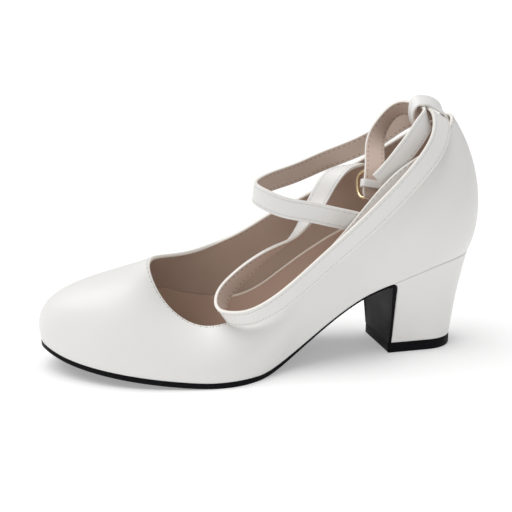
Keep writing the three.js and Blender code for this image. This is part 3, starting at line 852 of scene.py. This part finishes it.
# x, y, rise over the sole, then the direction across the strap
cross_strap_rows = [
    [57, 17, 57.25, 0.1, -0.97, 0.2],
    [49, 16.8, 58.74, 0.3, -0.9, 0.1],
    [41.5, 15, 59.51, 0.6, -0.7, -0.15],
    [35, 12, 57.33, 0.75, -0.55, -0.3],
    [29.4, 8.8, 53.64, 0.65, -0.65, -0.25],
    [23, 5, 50.57, 0.35, -0.85, 0.1],
    [13.5, 0.5, 48.88, 0.2, -0.85, 0.45],
    [1.5, -4, 51.56, 0.1, -0.7, 0.75],
    [-12, -10.5, 49.72, 0, -0.35, 0.95],
    [-24, -18, 43.49, -0.05, -0.1, 1],
    [-31.2, -27, 37.3, -0.4, 0, 0.9],
    [-31, -34.3, 33.7, -0.6, -0.2, 0.8],
    [-24.5, -38.6, 32.78, -0.45, -0.45, 0.9],
    [-12.7, -39.2, 35.22, -0.35, -0.4, 1],
    [3, -37.2, 38.64, -0.45, -0.3, 1],
    [19.8, -35, 39.61, -0.5, -0.25, 1],
    [37, -34, 41.04, -0.55, -0.15, 1],
    [53.4, -32.5, 46.9, -0.55, 0, 1],
    [68, -29.5, 55.08, -0.65, 0, 1],
    [79.6, -25, 62.66, -0.85, 0.1, 0.85],
    [86.8, -17.4, 69.45, -0.85, 0.1, 0.62],
    [89.55, -8.6, 75.44, -0.86, 0.05, 0.5],
    [89.35, 1, 76.34, -0.75, 0.1, 0.65],
    [87.8, 11.6, 75.14, -0.45, 0, 0.9],
    [80.8, 21.3, 71.33, -0.15, 0.05, 1],
    [73, 28, 66.26, -0.15, 0.1, 1],
    [59.2, 31, 63.12, -0.15, 0.1, 1],
    [40.4, 29.5, 64.93, -0.1, 0.05, 1],
    [21, 21, 73.62, -0.05, 0, 1],
    [6, 12, 82.51, 0, -0.05, 1],
    [-3.5, 3, 86.43, 0.1, -0.05, 1],
    [-8, -6, 87.13, 0.1, -0.05, 1],
    [-6, -15.5, 85.22, 0.1, -0.05, 1],
    [2.6, -20.5, 78.05, 0.05, 0, 1],
    [16, -22, 66.19, 0.05, 0, 1],
    [29, -22.7, 53.26, 0.05, 0, 1],
    [39, -23.2, 44.17, 0.05, 0, 1],
    [48, -24.5, 36.92, 0.05, 0, 1],
]


def placed(rows):
    """Rows with their rise over the sole made a height over the floor."""
    rows = np.array(rows, float)
    rows[:, 2] += sole_bottom(rows[:, 0])
    return rows


class Guide:
    """The line that a strap follows, read by millimetres along it."""

    def __init__(self, rows):
        rows = np.hstack([rows[:, :3], unit(rows[:, 3:])])
        run = np.append(0, np.cumsum(np.linalg.norm(np.diff(rows[:, :3], axis=0), axis=1)))
        self.total = run[-1]
        self.path = spline(run, rows)

    def at(self, s):
        """The place, and the directions along, across and out of the strap."""
        now = self.path(s)
        after = self.path(np.minimum(s + 0.1, self.total))
        before = self.path(np.maximum(s - 0.1, 0))
        along = unit(after[:, :3] - before[:, :3])
        side = unit(now[:, 3:] - along * np.sum(now[:, 3:] * along, axis=1)[:, None])
        return now[:, :3], along, side, np.cross(along, side)


def round_bar(width, low, high, soft, steps=6):
    """A closed section, flat with round edges: rows of place across and height."""
    soft = min(soft, (high - low) / 2)
    rows = [[w, high] for w in np.linspace(-width / 2 + soft, width / 2 - soft, steps)]
    top, bottom = high - soft, low + soft
    corners = [(1, top, 90), (1, bottom, 0), (-1, bottom, -90), (-1, top, -180)]
    for index, (side, level, start) in enumerate(corners):
        if index == 2:
            across = np.linspace(width / 2 - soft, -width / 2 + soft, steps)
            rows += [[w, low] for w in across[1:-1]]
        for turn in np.radians(np.linspace(start, start - 90, 5)):
            w = side * (width / 2 - soft) + soft * math.cos(turn)
            point = [w, level + soft * math.sin(turn)]
            if abs(point[0] - rows[-1][0]) + abs(point[1] - rows[-1][1]) > 1e-6:
                rows.append(point)
    rows[-1] = rows[0]
    return np.array(rows)


def band(name, guide, section, margin=0.0, tip=0.0):
    """A strap bent along its guide, margin short of each end; tip rounds its free end."""
    start, stop = margin, guide.total - margin
    soft, pitch = strap_end_soft, 1.3
    inner = np.linspace(start + soft, stop - soft, int((stop - start) / pitch))
    lead = np.array([0, 0.08, 0.3, 0.6]) * soft
    stations = np.concatenate([start + lead, inner, stop - lead[::-1]])
    width = section[:, 0].max() - section[:, 0].min()
    middle = (section[:, 1].max() + section[:, 1].min()) / 2
    steps = np.arange(len(stations))

    def lay(a, b):
        s = np.interp(a * steps[-1], steps, stations)
        w, t = follow(section, b)
        from_end = np.clip(np.minimum(s - start, stop - s) / soft, 0, 1)
        t = middle + (t - middle) * np.sqrt(1 - (1 - from_end) ** 2)
        if tip:
            left = np.clip((stop - s) / tip, 0, 1)
            w = w * np.sqrt(1 - (1 - left) ** 2)
        centre, _, side, face = guide.at(s)
        return centre + side * w[:, None] + face * t[:, None], (s / 100, np.abs(w) / width * 2)

    return laid_grid(name, len(stations) - 1, len(section) - 1, lay)


def strap_row(guide, across, level, offset):
    """Stitch places along a strap, with its direction and the outward direction there."""
    run = guide.total - first_stitch
    count = int(run / stitch_pitch)
    s = first_stitch + (np.arange(count) + 0.5 + offset) * run / count
    centre, along, side, face = guide.at(s[s < guide.total - 0.5])
    return centre + side * across + face * level, along, face * (1 if level > 0 else -1)


def strap_set(name, guide, tip=0.0):
    """White leather outside, taupe lining inside, a seam along both edges, with painted shade
    dotted at its needle holes.
    """
    half = strap_thickness / 2
    section = round_bar(strap_width, -half, half, strap_soft)
    body = band(name + "_leather", guide, section, tip=tip)
    body.data.materials.append(strap_leather)
    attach(body, "root")
    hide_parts(name)
    inlay = round_bar(strap_width - 2 * inlay_margin, -half - 0.07, 0.2 - half, 0.12)
    inside = band(name + "_lining", guide, inlay, margin=0.3, tip=tip)
    inside.data.materials.append(strap_lining)
    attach(inside, "root")
    seam_at = strap_width / 2 - strap_edge_seam
    for label, level, offset, long, high, thread in (
        ("outer_stitches", half, 0.0, stitch_long, 0.24, white_thread),
        ("inner_stitches", -half - 0.06, 0.0, lining_long, 0.24, taupe_thread),
        # Dark dots of painted shade at the needle holes
        ("needle_holes", half, 0.5, 0.6, 0.1, painted_strap_hole_shade),
    ):
        rows = [strap_row(guide, side * seam_at, level, offset) for side in (1, -1)]
        centre, along, out = (np.vstack(parts) for parts in zip(*rows))
        seam = sew(f"{name}_{label}", centre, along, out, long, stitch_wide, high, thread)


strap_leather = leather_finish("strap_leather", 0.972, 0.99)
strap_lining = lining_finish("strap_lining", (0.63, 0.5, 0.425, 1), (0.56, 0.44, 0.37, 1))
cross_guide = Guide(placed(cross_strap_rows))
strap_set("cross_strap", cross_guide)


# Ankle strap
# The shorter strap that closes the shoe: from its near end it runs back through the heel loop,
# turns its taupe inside outwards and comes down to the buckle, its tip hanging free.
tip_length = 4.5
ankle_strap_rows = [
    [53.5, -19, 56.1, -0.35, 0, 0.95],
    [59.6, -19.3, 60.34, -0.7, 0, 0.7],
    [66.4, -18.6, 65.8, -0.75, 0, 0.65],
    [73.2, -16.6, 70.85, -0.75, 0, 0.65],
    [78.9, -13, 74.68, -0.65, 0, 0.75],
    [83.2, -7, 76.18, -0.35, -0.05, 0.9],
    [83.5, 0, 76.88, -0.25, -0.2, 0.93],
    [81.7, 7, 78.91, -0.25, -0.5, 0.82],
    [76.8, 12, 81.14, -0.35, -0.55, 0.78],
    [71.2, 14.5, 79.31, -0.55, -0.45, 0.7],
    [66.4, 13.8, 75.2, -0.8, -0.35, 0.5],
    [62.2, 10, 70.59, -0.95, -0.2, 0.22],
    [59.2, 4, 65.82, -1, -0.05, 0.05],
    [56.8, -3, 61.24, -1, 0, 0],
    [54.5, -8.5, 56.34, -1, 0, 0.05],
    [53, -11, 50.98, -1, 0, 0],
    [52.4, -12, 45.56, -1, 0, 0],
]
ankle_guide = Guide(placed(ankle_strap_rows))
strap_set("ankle_strap", ankle_guide, tip=tip_length)


# Heel loop
# A narrower band of the same white leather, folded forward over both straps at the back.
# Both its ends are sewn inside the back seam, one leg in front of the other.
loop_width, loop_thickness, loop_soft = 8, 1.5, 0.5
loop_stand_off, loop_end_step = 1.6, 1.9
# x, y, rise over the sole, then the direction across the loop
heel_loop_rows = [
    [97.4, 0, 69.38, 0, 1, 0],
    [95.7, 0, 73.16, 0, 1, 0],
    [94.2, 0, 76.46, 0.1, 1, 0.4],
    [91.2, 0, 79.84, 0.25, 1, 0.7],
    [87.8, 0, 82.44, 0.15, 1, 0.75],
    [84.2, 0, 84.17, 0.05, 1, 0.62],
    [80.1, 0, 84.85, 0.05, 1, 0.55],
    [77.5, 0, 80.92, 0.1, 1, 0.25],
    [79.2, 0, 73.47, 0.1, 1, 0],
    [84.4, 0, 69.37, 0, 1, 0],
    [90.4, 0, 68.14, 0, 1, 0],
    [95, 0, 65.56, 0, 1, 0],
]
# Shares of the back wall's height where the legs are sewn on
loop_seat = np.array([0.74, 0.8, 0.86])
leg_depth = wall + seat_gap + loop_thickness / 2 + loop_stand_off
flat = np.tile([0.0, 1.0, 0.0], (3, 1))
first_leg = np.hstack([wall_at(np.zeros(3), loop_seat, leg_depth), flat])
last_leg = np.hstack([wall_at(np.zeros(3), loop_seat, leg_depth + loop_end_step), flat])[::-1]
loop_guide = Guide(np.vstack([first_leg, placed(heel_loop_rows), last_leg]))
loop_section = round_bar(loop_width, -loop_thickness / 2, loop_thickness / 2, loop_soft)
loop = band("heel_loop", loop_guide, loop_section)
loop.data.materials.append(strap_leather)
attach(loop, "root")
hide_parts("heel_loop")


# Keeper
# A small closed band of white leather round the hanging end of the ankle strap.
# It sits beside the buckle, where it keeps the strap's end flat.
keeper_width, keeper_thickness, keeper_place = 4, 1.1, 0.937
keeper_play = 0.4
hollow_half = strap_thickness / 2 + keeper_play
keeper_hollow = round_bar(strap_width + 2 * keeper_play, -hollow_half, hollow_half, 0.7)
keeper_section = round_bar(keeper_width, 0.0, keeper_thickness, 0.35, 3)


def lay_keeper(a, b):
    """The keeper: a runs round the strap, b round the band's own section."""
    w, t = follow(keeper_hollow, a)
    w_next, t_next = follow(keeper_hollow, (a + 0.002) % 1)
    w_last, t_last = follow(keeper_hollow, (a - 0.002) % 1)
    outward = unit(np.column_stack([t_last - t_next, w_next - w_last]) + 1e-12)
    along_mm, out = follow(keeper_section, b)
    centre, along, side, face = ankle_guide.at(np.full(len(a), ankle_guide.total * keeper_place))
    w, t = w + outward[:, 0] * out, t + outward[:, 1] * out
    points = centre + side * w[:, None] + face * t[:, None] + along * along_mm[:, None]
    return points, (a, np.abs(along_mm) / keeper_width * 2)


keeper = laid_grid("keeper_loop", 64, 20, lay_keeper)
keeper.data.materials.append(strap_leather)
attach(keeper, "root")
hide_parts("keeper_loop")


# Buckle
# A small oval frame of polished pale gold metal, bent from round wire.
# A straight prong of thinner wire lies across it, on the side away from the strap.
buckle_wire, prong_wire, prong_gap = 1.7, 1.3, 0.1
buckle_long, buckle_short, buckle_corner = 7.2, 5.2, 0.7
buckle_centre = placed([[52.76, -1.84, 51.98]])[0]
frame_long = unit(np.array([[0.1, 0.5, 0.86]]))[0]
frame_short = unit(np.array([[-0.632, 0.7, -0.333]]))[0]
frame_face = np.cross(frame_long, frame_short)


def oval(turn):
    """A point of the frame's centre line."""
    c, s = np.cos(turn), np.sin(turn)
    a = np.sign(c) * np.abs(c) ** buckle_corner * buckle_long
    b = np.sign(s) * np.abs(s) ** buckle_corner * buckle_short
    return buckle_centre + a[:, None] * frame_long + b[:, None] * frame_short


def lay_frame(a, b):
    """The frame: a runs round the oval, b round the wire."""
    turn, around = 2 * np.pi * a, 2 * np.pi * b
    centre = oval(turn)
    along = unit(oval(turn + 0.02) - oval(turn - 0.02))
    out = np.cross(along, frame_face)
    radius = buckle_wire / 2
    ring = out * np.cos(around)[:, None] + frame_face * np.sin(around)[:, None] * 0.9
    return centre + ring * radius, (a, b)


gold_finish = Finish("pale_gold", Metallic=1.0, Roughness=0.2)
gold, gold_worn = (0.83, 0.66, 0.40, 1), (0.74, 0.57, 0.33, 1)
wear = gold_finish.noise(400, 3).over(0.3, 0.8)
gold_finish.fill(
    gold_finish.surface,
    {"Base Color": gold_finish.mix(wear, gold, gold_worn), "Roughness": wear * 0.12 + 0.16},
)
buckle = laid_grid("buckle_frame", 96, 20, lay_frame)
buckle.data.materials.append(gold_finish.material)
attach(buckle, "root")
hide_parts("buckle_frame")


def lay_prong(a, b):
    """The prong: a runs from its bar to its tip, b round the wire."""
    share = -1 + 2.05 * a
    taper = np.sqrt(np.clip(1 - (1 - np.clip(np.minimum(a, 1 - a) / 0.06, 0, 1)) ** 2, 0, 1))
    lift = (buckle_wire + prong_wire) / 2 + prong_gap
    centre = buckle_centre + frame_short * (share * buckle_short)[:, None] - frame_face * lift
    radius = (prong_wire / 2 * taper * (1 - 0.3 * a))[:, None]
    around = 2 * np.pi * b
    ring = frame_long * np.cos(around)[:, None] + frame_face * np.sin(around)[:, None]
    return centre + ring * radius, (a, b)


prong = laid_grid("buckle_prong", 30, 16, lay_prong)
prong.data.materials.append(gold_finish.material)
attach(prong, "root")
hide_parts("buckle_prong")


# Floor, light and camera
# A plain pale floor that glows a little, so that the shadows under the shoe stay light.
# One wide soft light stands above the toe, and the shoe is seen from its outer side.
bpy.ops.object.select_all(action="DESELECT")
bpy.ops.mesh.primitive_plane_add(size=40)
floor = bpy.context.object
floor.name = "floor"
ground = Finish("pale_floor", Roughness=0.75, Specular_IOR_Level=0.2)
pale = {
    "Base Color": (0.77, 0.77, 0.77, 1),
    "Emission Color": (1, 1, 1, 1),
    "Emission Strength": 0.31,
}
ground.fill(ground.surface, pale)
floor.data.materials.append(ground.material)

world = bpy.data.worlds.new("studio")
bpy.context.scene.world = world
world.use_nodes = True
world.node_tree.nodes["Background"].inputs["Color"].default_value = (1, 1, 1, 1)
world.node_tree.nodes["Background"].inputs["Strength"].default_value = 0.45

sun = bpy.data.lights.new("wide_window", "SUN")
sun.energy = 1.95
sun.angle = math.radians(60)
window = bpy.data.objects.new("wide_window", sun)
bpy.context.scene.collection.objects.link(window)
window.rotation_euler = (math.radians(-4), math.radians(-22), 0)

camera_data = bpy.data.cameras.new("camera")
camera = bpy.data.objects.new("camera", camera_data)
bpy.context.scene.collection.objects.link(camera)
bpy.context.scene.camera = camera
azimuth, elevation, distance = math.radians(15), math.radians(15.4), 0.62
# The picture's width, the lens's focal length and its two shifts, all in the picture's pixels
picture, focal, aside, upward = 512, 1200, -3, 5.5
aim = (np.array([-4.2, 0.0, 50.0]) + shift) * MM
back_axis = np.array(
    [
        -math.sin(azimuth) * math.cos(elevation),
        -math.cos(azimuth) * math.cos(elevation),
        math.sin(elevation),
    ]
)
camera.location = aim + back_axis * distance
camera.rotation_euler = (math.pi / 2 - elevation, 0, -azimuth)
camera_data.sensor_width = 36
camera_data.lens = focal * camera_data.sensor_width / picture
camera_data.shift_x = aside / picture
camera_data.shift_y = upward / picture
bpy.context.scene.view_settings.view_transform = "Standard"
